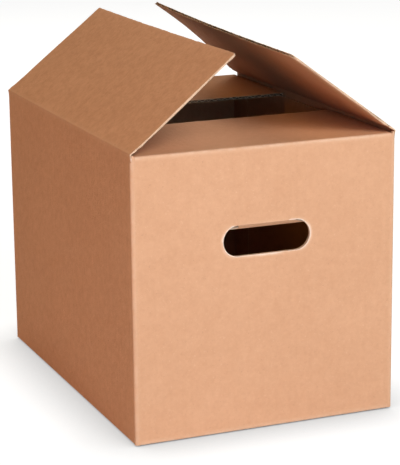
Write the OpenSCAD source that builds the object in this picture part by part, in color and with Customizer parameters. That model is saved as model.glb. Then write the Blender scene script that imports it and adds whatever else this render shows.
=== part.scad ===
// Corrugated shipping box, folded from one scored and slotted sheet of fluted board.
// The long flaps stand half open over the end flaps, which lie folded in.
// Origin: middle of the underside. X runs across the hand-hole ends, Y along the box, Z up.

/* [Box] */
// Outside width, across the panels that carry the hand holes
box_w = 290; // [200:1:390]
// Outside length, along the plain side panels
box_l = 405; // [300:1:600]
// Height of the side panels up to the long flaps' score
box_h = 300; // [200:1:450]
// Outside radius of the four upright folds
corner_r = 4; // [2:0.5:8]
// Outside radius of the end panels' folds, top and bottom
fold_r = 2.5; // [1:0.5:4]

/* [Board] */
// Thickness of the fluted board
board = 3.5; // [2.5:0.1:5]
// Thickness of each flat liner
liner = 0.45; // [0.3:0.05:0.7]
// Thickness of the waved middle sheet
wave_t = 0.45; // [0.3:0.05:0.7]
// Distance from one flute to the next
flute_pitch = 7.8; // [6:0.1:10]

/* [Flaps] */
// Angle of the left long flap above level
left_open = 38; // [8:0.2:170]
// Angle of the right long flap above level
right_open = 38.5; // [8:0.2:170]
// How far the end flaps' score lies below the long flaps' score
score_step = 2.5; // [1.5:0.1:4]
// Length of board that the score has pressed thin at each long flap's root
crush_l = 14; // [8:1:24]
// Thickness of the pressed board at the score line
crush_t = 1; // [0.6:0.1:2]
// Gap between the two long flaps when they are shut
meeting_gap = 1; // [0.5:0.5:4]
// How far a long flap's end stops short of the end panel's face
long_flap_inset = 1; // [0:0.5:4]
// Gap between an end flap's side and the side panel's inner face
end_flap_gap = 1.5; // [0.5:0.5:8]

/* [Hand holes] */
// Width of a hand hole
hole_w = 95.5; // [70:0.5:120]
// Height of a hand hole
hole_h = 32; // [24:0.5:40]
// Depth of the hole's centre below the end panel's top fold
hole_drop = 95.5; // [50:0.5:160]
// Inside radius of the bend where the hole's tab is pushed in
tab_bend_r = 2; // [1:0.5:4]
// Angle through which the tab has been pushed in
tab_bend = 140; // [100:5:160]

/* [Glued joint] */
// Width of the glued lap that closes the sheet into a tube
lap_w = 35; // [25:1:50]
// Thickness of the pressed lap
lap_t = 2.6; // [2:0.1:4]
// How far the lap's ends stop short of the scores
lap_end = 12; // [8:1:30]

/* [Hidden] */
$fn = 48;
KRAFT = [0.80, 0.60, 0.44];
KRAFT_LEFT = [0.70, 0.50, 0.34];
KRAFT_RIGHT = [0.62, 0.43, 0.29];
// Overlap that joins solids of one sheet
eps = 0.01;

// At the long flaps' score only the outer liner is left of the side panel: a thin lip up to the
// score line. The flap's root starts just past the lip, and the panel's pressed shoulder lies
// under the root at every angle of the flap.
lip_t = 0.9;
lip_gap = 0.1;
root_gap = lip_t + 0.2;
shoulder_gap = 0.4;

// The long flaps meet in the middle, and every flap has the same depth
flap_d = box_w / 2 - meeting_gap / 2;
long_flap_l = box_l - 2 * long_flap_inset;
end_flap_w = box_w - 2 * (board + end_flap_gap);
end_top = box_h - score_step;
hole_z = end_top - hole_drop;
shoulder_z = box_h - crush_t - shoulder_gap;

// Flutes: a wave runs between the liners, and each of its troughs and crests leaves a channel.
// A channel's outline meets the liner at channel_reach and follows the wave's upper side at
// wave_steps, all counted in pitches from the trough.
wave_h = board / 2 - liner;
flute_margin = 1.5;
channel_reach = 0.42;
wave_steps = [0.28, 0.11, -0.11, -0.28];
function wave_y(s) = wave_t / 2 - (wave_h - wave_t / 2) * cos(360 * s);
channel = concat(
    [for (side = [-1, 1]) [side * channel_reach * flute_pitch, wave_h]],
    [for (s = wave_steps) [s * flute_pitch, wave_y(s)]]
);

// Section across the flutes: two liners and the wave between them, centred on the origin
module fluted_section(width) {
    count = floor((width - 2 * flute_margin) / flute_pitch - 0.5);
    first = -count * flute_pitch / 2;
    difference() {
        square([width, board], center = true);
        for (i = [0:count]) {
            translate([first + i * flute_pitch, 0])
                polygon(channel);
            if (i < count)
                translate([first + (i + 0.5) * flute_pitch, 0])
                    rotate(180)
                        polygon(channel);
        }
    }
}

// Board lying flat, its flutes open at the far end: x from start to end, top face at z = 0
module fluted_plate(start, end, width) {
    translate([start, 0, -board / 2])
        rotate([90, 0, 90])
            linear_extrude(end - start)
                fluted_section(width);
}

// A long flap lying level and pointing along +X, hinged on the Y axis at its upper face
module long_flap() {
    fluted_plate(crush_l, flap_d, long_flap_l);
    rotate([90, 0, 0])
        linear_extrude(long_flap_l, center = true)
            polygon([[root_gap, 0], [crush_l, 0], [crush_l, -board], [root_gap, -crush_t]]);
}

// Outline of the upright tube of four panels, seen from above
module rounded_rect(w, l, r) {
    square([w - 2 * r, l], center = true);
    square([w, l - 2 * r], center = true);
    for (x = [-1, 1], y = [-1, 1])
        translate([x * (w / 2 - r), y * (l / 2 - r)])
            circle(r);
}

module tube_outline() {
    difference() {
        rounded_rect(box_w, box_l, corner_r);
        square([box_w - 2 * board, box_l - 2 * board], center = true);
    }
}

// The side panels' top edges, pressed thin to a lip on the score line
module side_panel_edge(thickness, top) {
    linear_extrude(top)
        intersection() {
            tube_outline();
            for (x = [-1, 1])
                translate([x * (box_w - thickness) / 2, 0])
                    square([thickness, long_flap_l], center = true);
        }
}

// What rounds the outer edge of an end panel's fold, along X, with the edge at the origin
module fold_cutter() {
    rotate([90, 0, 90])
        linear_extrude(box_w + 2, center = true)
            difference() {
                translate([-1, -1])
                    square(fold_r + 1);
                translate([fold_r, fold_r])
                    circle(fold_r);
            }
}

// Stadium outline of a hand hole, lying in XZ with its centre at the origin
module hole_outline() {
    square([hole_w - hole_h, hole_h], center = true);
    for (x = [-1, 1])
        translate([x * (hole_w - hole_h) / 2, 0])
            circle(hole_h / 2);
}

// A hand hole's tab, pushed in about its top crease: the bend, then the flat part going up and in.
// The crease lies on the X axis at the panel's outer face, and the box's inside is along +Y.
module hand_tab() {
    outer_r = tab_bend_r + board;
    bent_l = outer_r * tab_bend * PI / 180;
    crease_w = hole_w - hole_h;
    reach = 3 * outer_r;
    translate([0, outer_r, 0])
        rotate([0, 90, 0])
            linear_extrude(crease_w, center = true)
                difference() {
                    intersection() {
                        circle(outer_r);
                        polygon([[0, 0], [0, -reach], [reach, -reach],
                            [reach * sin(tab_bend), -reach * cos(tab_bend)]]);
                    }
                    circle(tab_bend_r);
                }
    translate([0, outer_r, 0])
        rotate([tab_bend - 90, 0, 0])
            translate([0, -eps, -outer_r])
                linear_extrude(board)
                    intersection() {
                        translate([0, hole_h / 2 - bent_l])
                            hole_outline();
                        translate([-hole_w / 2, 0])
                            square([hole_w, hole_h]);
                    }
}

// One end of the box: folded-in top flap, folded-in bottom flap, and the hand hole's tab
module end_flaps() {
    translate([0, -box_l / 2 + board, end_top])
        rotate([0, 0, 90])
            translate([-eps, 0, 0])
                fluted_plate(0, flap_d - board, end_flap_w);
    translate([-end_flap_w / 2, -box_l / 2 + board - eps, board])
        cube([end_flap_w, flap_d - board + eps, board]);
    translate([0, -box_l / 2, hole_z + hole_h / 2])
        hand_tab();
}

// One of the two long bottom flaps, its upright fold's radius carried round its outer edge
module bottom_flap() {
    rotate([90, 0, 0])
        linear_extrude(long_flap_l, center = true)
            intersection() {
                translate([-box_w / 2, 0])
                    square([flap_d, board + eps]);
                union() {
                    translate([-box_w / 2 + corner_r, corner_r])
                        circle(corner_r);
                    translate([-box_w / 2 + corner_r, 0])
                        square([flap_d, board + 1]);
                }
            }
}

// The glued lap, inside the back right fold
module glued_lap() {
    lap_h = end_top - 2 * board - 2 * lap_end;
    translate([box_w / 2 - board + eps, box_l / 2 - board + eps, 2 * board + lap_end])
        rotate([0, -90, 0])
            linear_extrude(lap_t)
                polygon([[0, 0], [lap_h, 0], [lap_h - lap_end, -lap_w], [lap_end, -lap_w]]);
}

module box_body() {
    color(KRAFT) {
        difference() {
            translate([0, 0, board])
                linear_extrude(end_top - board)
                    tube_outline();
            for (turn = [0, 180])
                rotate(turn) {
                    translate([0, -box_l / 2, board])
                        fold_cutter();
                    translate([0, -box_l / 2, end_top])
                        mirror([0, 0, 1])
                            fold_cutter();
                    translate([0, -box_l / 2 - 1, hole_z])
                        rotate([-90, 0, 0])
                            linear_extrude(board + 2)
                                hole_outline();
                }
        }
        translate([0, 0, end_top - eps]) {
            side_panel_edge(board, shoulder_z - end_top + eps);
            side_panel_edge(lip_t, box_h - lip_gap - end_top + eps);
        }
        for (turn = [0, 180])
            rotate(turn) {
                end_flaps();
                bottom_flap();
            }
        glued_lap();
    }
}

module left_flap() {
    color(KRAFT_LEFT)
        translate([-box_w / 2, 0, box_h])
            rotate([0, -left_open, 0])
                long_flap();
}

module right_flap() {
    color(KRAFT_RIGHT)
        translate([box_w / 2, 0, box_h])
            rotate([0, right_open, 0])
                mirror([1, 0, 0])
                    long_flap();
}

box_body();
left_flap();
right_flap();
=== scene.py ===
"""Looks of the corrugated shipping box: one folded sheet of fluted kraft board."""

import logging
import math
from collections.abc import Callable
from dataclasses import dataclass, field
from enum import Enum, IntEnum

import bpy
import numpy as np
from mathutils import Matrix, Vector


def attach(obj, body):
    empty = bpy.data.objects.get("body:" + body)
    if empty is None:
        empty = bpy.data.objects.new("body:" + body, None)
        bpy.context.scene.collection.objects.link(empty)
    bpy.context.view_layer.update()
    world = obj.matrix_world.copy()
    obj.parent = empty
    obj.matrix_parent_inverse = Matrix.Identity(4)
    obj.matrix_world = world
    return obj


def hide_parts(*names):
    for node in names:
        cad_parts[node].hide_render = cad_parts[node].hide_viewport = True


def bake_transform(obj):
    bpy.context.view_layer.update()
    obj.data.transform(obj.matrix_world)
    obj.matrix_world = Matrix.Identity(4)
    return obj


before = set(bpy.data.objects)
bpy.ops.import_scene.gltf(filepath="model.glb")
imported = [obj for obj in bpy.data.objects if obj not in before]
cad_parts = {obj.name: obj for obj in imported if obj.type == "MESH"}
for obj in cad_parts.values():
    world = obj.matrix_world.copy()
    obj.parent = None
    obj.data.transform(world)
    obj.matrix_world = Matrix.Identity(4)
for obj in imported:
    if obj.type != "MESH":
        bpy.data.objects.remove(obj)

LOG = logging.getLogger("shipping_box")
MM = 0.001
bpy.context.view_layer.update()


class Face(IntEnum):
    """Which side of the board a polygon shows, used as its material index."""

    OUTER = 0
    INNER = 1
    CUT = 2
    # Dark finish of the medium, also on the liners' faces inside the board and some liner edges: partly the
    # medium's own colour, partly painted shade in the flute channels.
    MEDIUM = 3


class Side(Enum):
    """A long flap's side, valued by the sign of its hinge's X."""

    LEFT = -1
    RIGHT = 1


@dataclass(frozen=True)
class Board:
    """Fluted board: two flat liners with a waved medium between them, in mm."""

    thick: float = 3.5
    liner: float = 0.45
    medium: float = 0.38
    pitch: float = 7.8
    pressed: float = 1.0


@dataclass(frozen=True)
class BoxSizes:
    """Outside sizes of the box in mm, the same values as the frame's."""

    width: float = 290.0
    length: float = 405.0
    height: float = 300.0
    corner_r: float = 4.0
    fold_r: float = 2.5
    end_top: float = 297.5
    flap_depth: float = 144.5
    long_flap_half: float = 201.5
    end_flap_half: float = 140.0
    base_flap_half: float = 198.5
    joint_z: float = 292.0
    base_z: float = 10.0
    end_panel_z: float = 0.7


@dataclass(frozen=True)
class UprightFold:
    """Shape of the sheet across an upright fold, in mm away from the fold.

    Attributes:
        press: Share of the board that the fold presses out.
        press_reach: How far the pressing reaches.
        groove: Depth of the groove beside the fold.
        groove_at: Place of the groove.
        groove_reach: Half width of the groove.
        ridge: Height of the low ridge past the groove.
        ridge_at: Place of the ridge.
        ridge_reach: Half width of the ridge.
        web: Height of the web of board left at the fold's top.
        web_reach: Half width of the web.
        web_from: Height where the web starts.
        web_ease: Height over which it grows.
    """

    press: float = 0.34
    press_reach: float = 2.6
    groove: float = 0.26
    groove_at: float = 4.6
    groove_reach: float = 1.9
    ridge: float = 0.10
    ridge_at: float = 8.6
    ridge_reach: float = 1.4
    web: float = 1.9
    web_reach: float = 4.0
    web_from: float = 295.5
    web_ease: float = 1.5


BOARD = Board()
BOX = BoxSizes()
FOLD = UprightFold()


# Arrays and meshes


def smoothstep(x: np.ndarray) -> np.ndarray:
    """Eased ramp 3x^2 - 2x^3 of x cut to 0..1.

    Args:
        x: Any array.

    Returns:
        The eased values, same shape.
    """
    x = np.clip(x, 0.0, 1.0)
    return x * x * (3.0 - 2.0 * x)


def hump(away: np.ndarray, reach: float) -> np.ndarray:
    """Bell curve exp(-(away / reach)^2), 1 at the place itself.

    Args:
        away: Distances from the place.
        reach: Distance at which it has fallen to 0.37.

    Returns:
        The curve's values, same shape.
    """
    return np.exp(-(away / reach) ** 2)


def panel_ways(panel: int) -> tuple[np.ndarray, np.ndarray]:
    """Directions along a panel and into the box, seen from above.

    Args:
        panel: Panel number, which counts quarter turns.

    Returns:
        The tangent (cos, sin) of the panel's turn and the direction inwards, (2,) each.
    """
    turn = panel * math.pi / 2
    tangent = np.array([math.cos(turn), math.sin(turn)])
    return tangent, np.array([-tangent[1], tangent[0]])


def ragged(rng: np.random.Generator, places: np.ndarray, depth: float, step: float) -> np.ndarray:
    """Smooth random tear depth along an edge: knots every step mm, joined by straight lines.

    Args:
        rng: Seeded source of the knots.
        places: Places along the edge in mm.
        depth: Deepest tear in mm.
        step: Distance between knots in mm.

    Returns:
        Depth of the tear at each place, 0 to depth.
    """
    start = float(places.min()) - step
    knots = np.arange(start, float(places.max()) + 2 * step, step)
    return np.interp(places, knots, rng.random(knots.size) ** 2 * depth)


def grid_quads(rows: int, cols: int) -> np.ndarray:
    """Quads of a rows by cols grid whose points are numbered row by row.

    Args:
        rows: Points along the first parameter.
        cols: Points along the second parameter.

    Returns:
        Array (n, 4), wound so that the normal is first direction x second direction.
    """
    first = (np.arange(rows - 1)[:, None] * cols + np.arange(cols - 1)[None, :]).ravel()
    return np.stack([first, first + cols, first + cols + 1, first + 1], axis=1)


@dataclass
class Patch:
    """Part of a board sheet: matched points on its two faces, and the quads that join them.

    Attributes:
        outer: Points of the outer face, (n, 3) mm.
        inner: Points of the inner face, (n, 3) mm.
        quads: Quads of the outer face, (m, 4).
        uv: Place on the flat sheet, across and along the flutes, (n, 2) mm.
        fold: Nearness to a fold, 0 to 1, (n,); it weights the pale tint that is partly wear and partly
            painted highlight.
    """

    outer: np.ndarray
    inner: np.ndarray
    quads: np.ndarray
    uv: np.ndarray
    fold: np.ndarray

    @classmethod
    def from_grid(cls, outer: np.ndarray, inner: np.ndarray, uv: np.ndarray, fold: np.ndarray,
                  keep: np.ndarray | None = None, flip: bool = False) -> "Patch":
        """Makes a patch from (rows, cols, 3) grids.

        Args:
            outer: Grid of points of the outer face.
            inner: Grid of points of the inner face.
            uv: Grid of flat places (rows, cols, 2).
            fold: Grid of nearness to a fold (rows, cols).
            keep: Mask of the quads to keep, (rows - 1, cols - 1), or None for all.
            flip: Turn the quads over.

        Returns:
            The patch.
        """
        rows, cols = outer.shape[:2]
        quads = grid_quads(rows, cols)
        if keep is not None:
            quads = quads[keep.ravel()]
        if flip:
            quads = quads[:, ::-1]
        return cls(outer.reshape(-1, 3), inner.reshape(-1, 3), quads,
                   uv.reshape(-1, 2), np.broadcast_to(fold, (rows, cols)).ravel())


@dataclass
class Solid:
    """Closed mesh data: points in mm, quads, material index and uv of each corner."""

    points: np.ndarray
    quads: np.ndarray
    face: np.ndarray
    uv: np.ndarray
    fold: np.ndarray


def closed_sheet(patches: list[Patch], outer_face: Face = Face.OUTER,
                 inner_face: Face = Face.INNER, inner_wear_and_highlight: float = 0.0,
                 rim_face: Face = Face.CUT) -> Solid:
    """Welds patches where their outer points meet, and closes the sheet along its free edges.

    The inner face is the outer one turned over, and a quad joins the two faces at every edge
    that only one quad uses.

    Args:
        patches: The sheet's parts.
        outer_face: Material of the outer face.
        inner_face: Material of the inner face.
        inner_wear_and_highlight: How much of the outer face's fold value the inner face gets; that value
            weights the pale tint of wear and painted highlight.
        rim_face: Material of the free edges.

    Returns:
        The closed solid.
    """
    offsets = np.cumsum([0] + [len(p.outer) for p in patches[:-1]])
    outer = np.concatenate([p.outer for p in patches])
    inner = np.concatenate([p.inner for p in patches])
    quads = np.concatenate([p.quads + o for p, o in zip(patches, offsets)])
    uv = np.concatenate([p.uv for p in patches])[quads]
    fold = np.concatenate([p.fold for p in patches])
    _, first, index = np.unique(np.round(outer, 2), axis=0, return_index=True, return_inverse=True)
    quads = index.ravel()[quads]
    outer, inner, fold = outer[first], inner[first], fold[first]
    count = len(outer)
    start, stop = quads.ravel(), np.roll(quads, -1, axis=1).ravel()
    free = ~np.isin(start * count + stop, stop * count + start)
    start, stop = start[free], stop[free]
    edge_uv = np.repeat(uv.reshape(-1, 2)[free][:, None, :], 4, axis=1)
    rims = np.stack([stop, start, start + count, stop + count], axis=1)
    return Solid(
        points=np.concatenate([outer, inner]),
        quads=np.concatenate([quads, quads[:, ::-1] + count, rims]),
        face=np.repeat([outer_face, inner_face, rim_face], [len(quads), len(quads), len(rims)]),
        uv=np.concatenate([uv, uv[:, ::-1], edge_uv]),
        fold=np.concatenate([fold, fold * inner_wear_and_highlight]),
    )


def place_mesh(name: str, solids: list[Solid], finishes: list[bpy.types.Material]) -> bpy.types.Object:
    """Puts solids into one new object at the origin, with flat places as its UV map in metres.

    Args:
        name: Name of the piece.
        solids: Closed solids in mm.
        finishes: Materials by Face index.

    Returns:
        The linked object.
    """
    offsets = np.cumsum([0] + [len(s.points) for s in solids[:-1]])
    points = np.concatenate([s.points for s in solids]) * MM
    quads = np.concatenate([s.quads + o for s, o in zip(solids, offsets)])
    used, index = np.unique(quads, return_inverse=True)
    points, quads = points[used], index.reshape(quads.shape)
    mesh = bpy.data.meshes.new(name)
    mesh.from_pydata(points.tolist(), [], quads.tolist())
    mesh.polygons.foreach_set("material_index", np.concatenate([s.face for s in solids]).astype(np.int32))
    layer = mesh.uv_layers.new(name="sheet")
    layer.data.foreach_set("uv", (np.concatenate([s.uv for s in solids]) * MM).astype(np.float32).ravel())
    fold = mesh.attributes.new("fold", "FLOAT", "POINT")
    fold.data.foreach_set("value", np.concatenate([s.fold for s in solids])[used].astype(np.float32))
    for finish in finishes:
        mesh.materials.append(finish)
    mesh.shade_smooth()
    mesh.set_sharp_from_angle(angle=math.radians(34))
    piece = bpy.data.objects.new(name, mesh)
    bpy.context.scene.collection.objects.link(piece)
    LOG.info("%s: %d points, %d quads", name, len(points), len(quads))
    return piece


@dataclass
class Curl:
    """Path of a sheet that bends as it goes, in mm.

    The tangent's angle runs in straight lines between knots (place, degrees). The path's forward
    and inward distances are the running sums of cos and sin of that angle, and the board lies on
    the inward side.
    """

    knots: tuple[tuple[float, float], ...]

    @classmethod
    def fold(cls, lead: float, radius: float, turn_deg: float) -> "Curl":
        """A straight lead, one round bend, and a straight rest."""
        return cls(((0.0, 0.0), (lead, 0.0), (lead + radius * math.radians(turn_deg), turn_deg)))

    @property
    def lead(self) -> float:
        """Where the first bend starts."""
        return self.knots[1][0]

    @property
    def bend_end(self) -> float:
        """Where the first bend ends."""
        return self.knots[2][0]

    @property
    def middle(self) -> float:
        """Place of the first bend's middle along the path."""
        return (self.lead + self.bend_end) / 2

    def nodes(self, end: float, steps: int, after: np.ndarray) -> np.ndarray:
        """Places along the path: its start, steps through the first bend, and some after it.

        Args:
            end: Last place.
            steps: Number of steps in the bend.
            after: Distances past the bend's end; those near or beyond the last place are left out.

        Returns:
            Increasing places.
        """
        bend = np.linspace(self.lead, self.bend_end, steps + 1)
        before = [0.0, self.lead * 0.5] if self.lead > 0.01 else []
        rest = self.bend_end + after[self.bend_end + after < end - 0.5]
        return np.concatenate([before, bend, rest, [end]])

    def angle(self, v: np.ndarray) -> np.ndarray:
        """Tangent angle at places along the path, in radians."""
        places, degrees = np.array(self.knots).T
        return np.radians(np.interp(v, places, degrees))

    def place(self, v: np.ndarray, depth: np.ndarray) -> tuple[np.ndarray, np.ndarray]:
        """Forward and inward distances of a point at place v and a depth below the outer face.

        Args:
            v: Places along the path.
            depth: Depth below the outer face.

        Returns:
            Forward and inward distances.
        """
        fine = np.linspace(0.0, max(float(v.max()), 1.0), 6001)
        step = fine[1]
        middle = self.angle(fine[:-1] + step / 2)
        forward = np.interp(v, fine, np.append(0.0, np.cumsum(np.cos(middle)) * step))
        inward = np.interp(v, fine, np.append(0.0, np.cumsum(np.sin(middle)) * step))
        angle = self.angle(v)
        return forward - depth * np.sin(angle), inward + depth * np.cos(angle)


# The box


@dataclass
class Perimeter:
    """Stations round the box, seen from above and counter-clockwise from the glued lap.

    Attributes:
        outer: Points of the outer face, (n, 2) mm.
        inward: Directions into the board, (n, 2).
        along: Distance along the sheet, (n,) mm.
        panel: Lap -1, back 2, left 3, front 4, right 5, and half values for the folds between.
        local: Place along the panel from its middle, (n,) mm.
        fold: Distance to the nearest upright fold, (n,) mm.
    """

    outer: np.ndarray
    inward: np.ndarray
    along: np.ndarray
    panel: np.ndarray
    local: np.ndarray
    fold: np.ndarray

    @classmethod
    def make(cls) -> "Perimeter":
        """Chains the lap, four panels and four folds into one open path."""
        half_w, half_l = BOX.width / 2, BOX.length / 2
        r = BOX.corner_r
        hole = np.linspace(-80, 80, 33)
        by_fold = np.array([half_w - r, 140, 139, 138, 137, 136, 135, 134, 132.5, 130, 124, 116, 104, 92])
        end = np.concatenate([-by_fold, hole, by_fold[::-1]])
        by_fold = np.array([half_l - r, 197.5, 196.5, 195.5, 194.5, 193.5, 192.5, 191, 188.5])
        side = np.concatenate([-by_fold, np.linspace(-184, 184, 33), by_fold[::-1]])
        lap_shift = BOARD.thick
        lap_r = 3.0
        lap = np.array([164.0, 168, 175, 182, 189, 194, 197, half_l - lap_r])
        parts: list[tuple[np.ndarray, ...]] = []

        def straight(turn: int, panel: float, places: np.ndarray, reach: float) -> None:
            """Adds a straight run at a distance reach from the middle."""
            tangent, inward = panel_ways(turn)
            parts.append((places[:, None] * tangent - reach * inward,
                          np.repeat(inward[None], places.size, axis=0),
                          np.full(places.size, panel), places))

        def corner(turn: int, panel: float, centre: tuple[float, float], radius: float) -> None:
            """Adds the inside nodes of a quarter turn about a centre."""
            tangent, inward = panel_ways(turn)
            angles = np.radians([9.0, 18, 27, 34, 41.41, 48.59, 56, 63, 72, 81])
            out = np.outer(np.sin(angles), tangent) - np.outer(np.cos(angles), inward)
            parts.append((np.array(centre) + radius * out, -out,
                          np.full(angles.size, panel), np.zeros(angles.size)))

        straight(1, -1.0, lap, half_w - lap_shift)
        corner(1, 1.5, (half_w - lap_shift - lap_r, half_l - lap_r), lap_r)
        back = end.copy()
        back[0] = -(half_w - lap_shift - lap_r)
        straight(2, 2.0, np.delete(back, 1), half_l)
        corner(2, 2.5, (-half_w + r, half_l - r), r)
        straight(3, 3.0, side, half_w)
        corner(3, 3.5, (-half_w + r, -half_l + r), r)
        straight(4, 4.0, end, half_l)
        corner(4, 4.5, (half_w - r, -half_l + r), r)
        straight(5, 5.0, np.append(side, BOX.long_flap_half), half_w)
        outer, inward, panel, local = (np.concatenate(column) for column in zip(*parts))
        along = np.concatenate([[0], np.cumsum(np.linalg.norm(np.diff(outer, axis=0), axis=1))])
        middles = [along[panel == p].mean() for p in (1.5, 2.5, 3.5, 4.5)]
        fold = np.abs(along[:, None] - np.array(middles)).min(axis=1)
        return cls(outer, inward, along, panel, local, fold)

    def middle(self, panel: int) -> float:
        """Distance along the sheet of a panel's middle, in mm."""
        at = self.panel == panel
        return float(np.interp(0.0, self.local[at], self.along[at]))

    def span(self, panel: int, half: float) -> slice:
        """Stations of a panel and of its corners out to a half width, as a slice.

        Args:
            panel: Panel number.
            half: Half of the width to take in, in mm.

        Returns:
            The slice of stations.
        """
        axis = 0 if panel in (2, 4) else 1
        near = (np.abs(self.panel - panel) <= 0.5) & (np.abs(self.outer[:, axis]) <= half + 0.02)
        found = np.flatnonzero(near)
        return slice(int(found[0]), int(found[-1]) + 1)


@dataclass
class HandHole:
    """A stadium-shaped hand hole with its tab pushed in about the top crease, in mm.

    Attributes:
        width: Width of the hole.
        height: Height of the hole.
        z: Height of its centre.
        frame_half: Half width of the frame round it in the wall's grid.
        frame_up: Half height of that frame.
        steps: Steps across the frame.
        tab_lean: How far the tab leans to the right of the photo's view.
        tab_curl: Knots (distance from the crease, degrees) of the tab's bend.
        rim_wear_and_highlight: Pale tint round the hole's rim, bared fibres with a painted highlight
            fringe.
        crease_wear_and_highlight: That tint along the tab's crease, partly wear and partly painted
            highlight.
        crease_thick: Thickness of the board at the crease.
    """

    width: float = 95.5
    height: float = 32.0
    z: float = 202.0
    frame_half: float = 80.0
    frame_up: float = 48.0
    steps: int = 32
    tab_lean: float = 5.5
    tab_curl: tuple[tuple[float, float], ...] = ((0.0, 44.0), (6.6, 50.0), (11.0, 140.0))
    rim_wear_and_highlight: float = 5.0
    crease_wear_and_highlight: float = 0.5
    crease_thick: float = 1.2

    @property
    def crease_half(self) -> float:
        """Half the width of the tab's crease."""
        return (self.width - self.height) / 2

    @property
    def z_rows(self) -> np.ndarray:
        """Heights of the wall's grid rows across the hole's frame."""
        return np.linspace(self.z - self.frame_up, self.z + self.frame_up, self.steps - 7)

    def rim(self) -> np.ndarray:
        """Points round the hole: top from left to right, right arc, bottom, left arc."""
        r, c = self.height / 2, self.crease_half
        across = np.linspace(-c, c, self.steps + 1)[:-1]
        turn = np.linspace(0, math.pi, self.z_rows.size)[:-1]
        top = np.stack([across, np.full(across.size, r)], axis=1)
        arc = np.stack([c + r * np.sin(turn), r * np.cos(turn)], axis=1)
        half = np.concatenate([top, arc])
        return np.concatenate([half, -half]) + np.array([0, self.z])

    def outline(self) -> np.ndarray:
        """Points round the frame in the wall, matched one by one to the rim."""
        across = np.linspace(-self.frame_half, self.frame_half, self.steps + 1)[:-1]
        down = np.linspace(self.frame_up, -self.frame_up, self.z_rows.size)[:-1]
        top = np.stack([across, np.full(across.size, self.frame_up)], axis=1)
        right = np.stack([np.full(down.size, self.frame_half), down], axis=1)
        half = np.concatenate([top, right])
        return np.concatenate([half, -half]) + np.array([0, self.z])

    def tab_half(self, v: np.ndarray) -> np.ndarray:
        """Half width of the tab at a distance v from its crease: c + sqrt(r^2 - (v - r)^2).

        Its arcs are drawn in next to the crease, where they would still lie in the wall.
        """
        r = self.height / 2
        widened = smoothstep((v - 2.0) / 10.0)
        return self.crease_half + widened * np.sqrt(np.clip(r * r - (v - r) ** 2, 0, None))


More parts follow.
